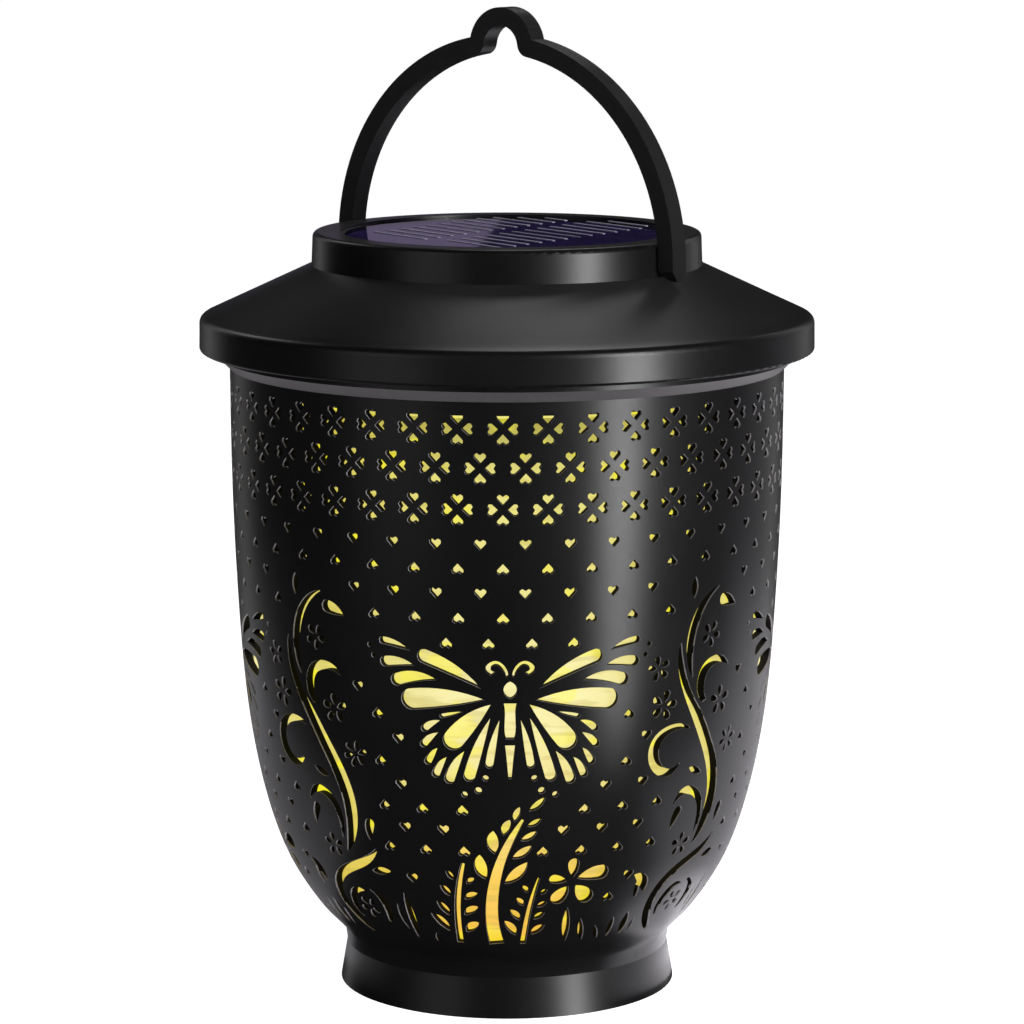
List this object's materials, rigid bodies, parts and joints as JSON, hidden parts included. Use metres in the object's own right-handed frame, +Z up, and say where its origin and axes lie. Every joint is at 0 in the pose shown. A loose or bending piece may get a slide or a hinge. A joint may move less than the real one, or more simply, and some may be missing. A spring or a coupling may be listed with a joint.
{
  "type": "solar hanging lantern",
  "caption": "Perforated garden lantern with a lift-off solar lid, a hinged bail handle with a hanging loop, a frosted liner, and the battery, board and lights in the lid.",
  "frame": {"origin": "middle of the foot ring, on the surface that the lantern stands on", "axes": "+Z up through the hanging loop; the middle of one butterfly faces -Y; the bail's legs stand 50.35 degrees round from -Y towards +X, and opposite"},
  "size_m": [0.14, 0.14, 0.2243],
  "materials": {
    "shell_black": "satin black, moulded and painted",
    "diffuser": "frosted translucent",
    "lid_black": "satin black",
    "tray_black": "fine matt texture",
    "bail_black": "satin black",
    "screw_steel": "zinc plated",
    "panel_backing": "matt",
    "solar_cell": "dark indigo silicon with silver lines",
    "panel_glass": "clear and glossy",
    "seal_rubber": "matt sealant",
    "wire_insulation": "smooth insulation, red and black",
    "board_green": "solder mask over glass fibre",
    "chip_black": "moulded resin",
    "ferrite": "sintered",
    "cell_wrap": "shrink wrap with no marking",
    "contact_steel": "nickel plated",
    "switch_black": "moulded",
    "led_board_white": "white solder mask",
    "led_yellow": "phosphor in a white frame",
    "lens_frosted": "frosted"
  },
  "bodies": {
    "pot": {"body_shell": "shell_black", "light_diffuser": "diffuser"},
    "lid": {"lid_housing": "lid_black", "lid_tray": "tray_black", "tray_screws": "screw_steel", "solar_backing": "panel_backing", "solar_wafer": "solar_cell", "solar_cover": "panel_glass", "panel_seal": "seal_rubber", "panel_leads": "wire_insulation", "circuit_board": "board_green", "board_screws": "screw_steel", "driver_chip": "chip_black", "drum_inductor": "ferrite", "battery_cell": "cell_wrap", "battery_plate": "contact_steel", "battery_spring": "contact_steel", "battery_leads": "wire_insulation", "switch_housing": "switch_black", "switch_leads": "wire_insulation", "led_board": "led_board_white", "led_chips": "led_yellow", "led_lens": "lens_frosted", "led_leads": "wire_insulation"},
    "bail": {"bail_handle": "bail_black"},
    "door": {"battery_door": "tray_black", "door_screw": "screw_steel"},
    "switch": {"switch_slider": "switch_black"}
  },
  "joints": [
    {"name": "lid_lift", "type": "slide", "parent": "pot", "child": "lid", "axis": [0, 0, 1], "range_m": [0, 0.06]},
    {"name": "bail_swing", "type": "hinge", "parent": "lid", "child": "bail", "pos_m": [0, 0, 0.1691], "axis": [0.77, -0.6381, 0], "range_deg": [-90, 90]},
    {"name": "door_off", "type": "slide", "parent": "lid", "child": "door", "axis": [0, 0, -1], "range_m": [0, 0.012]},
    {"name": "switch_slide", "type": "slide", "parent": "lid", "child": "switch", "axis": [1, 0, 0], "range_m": [0, 0.003]}
  ]
}
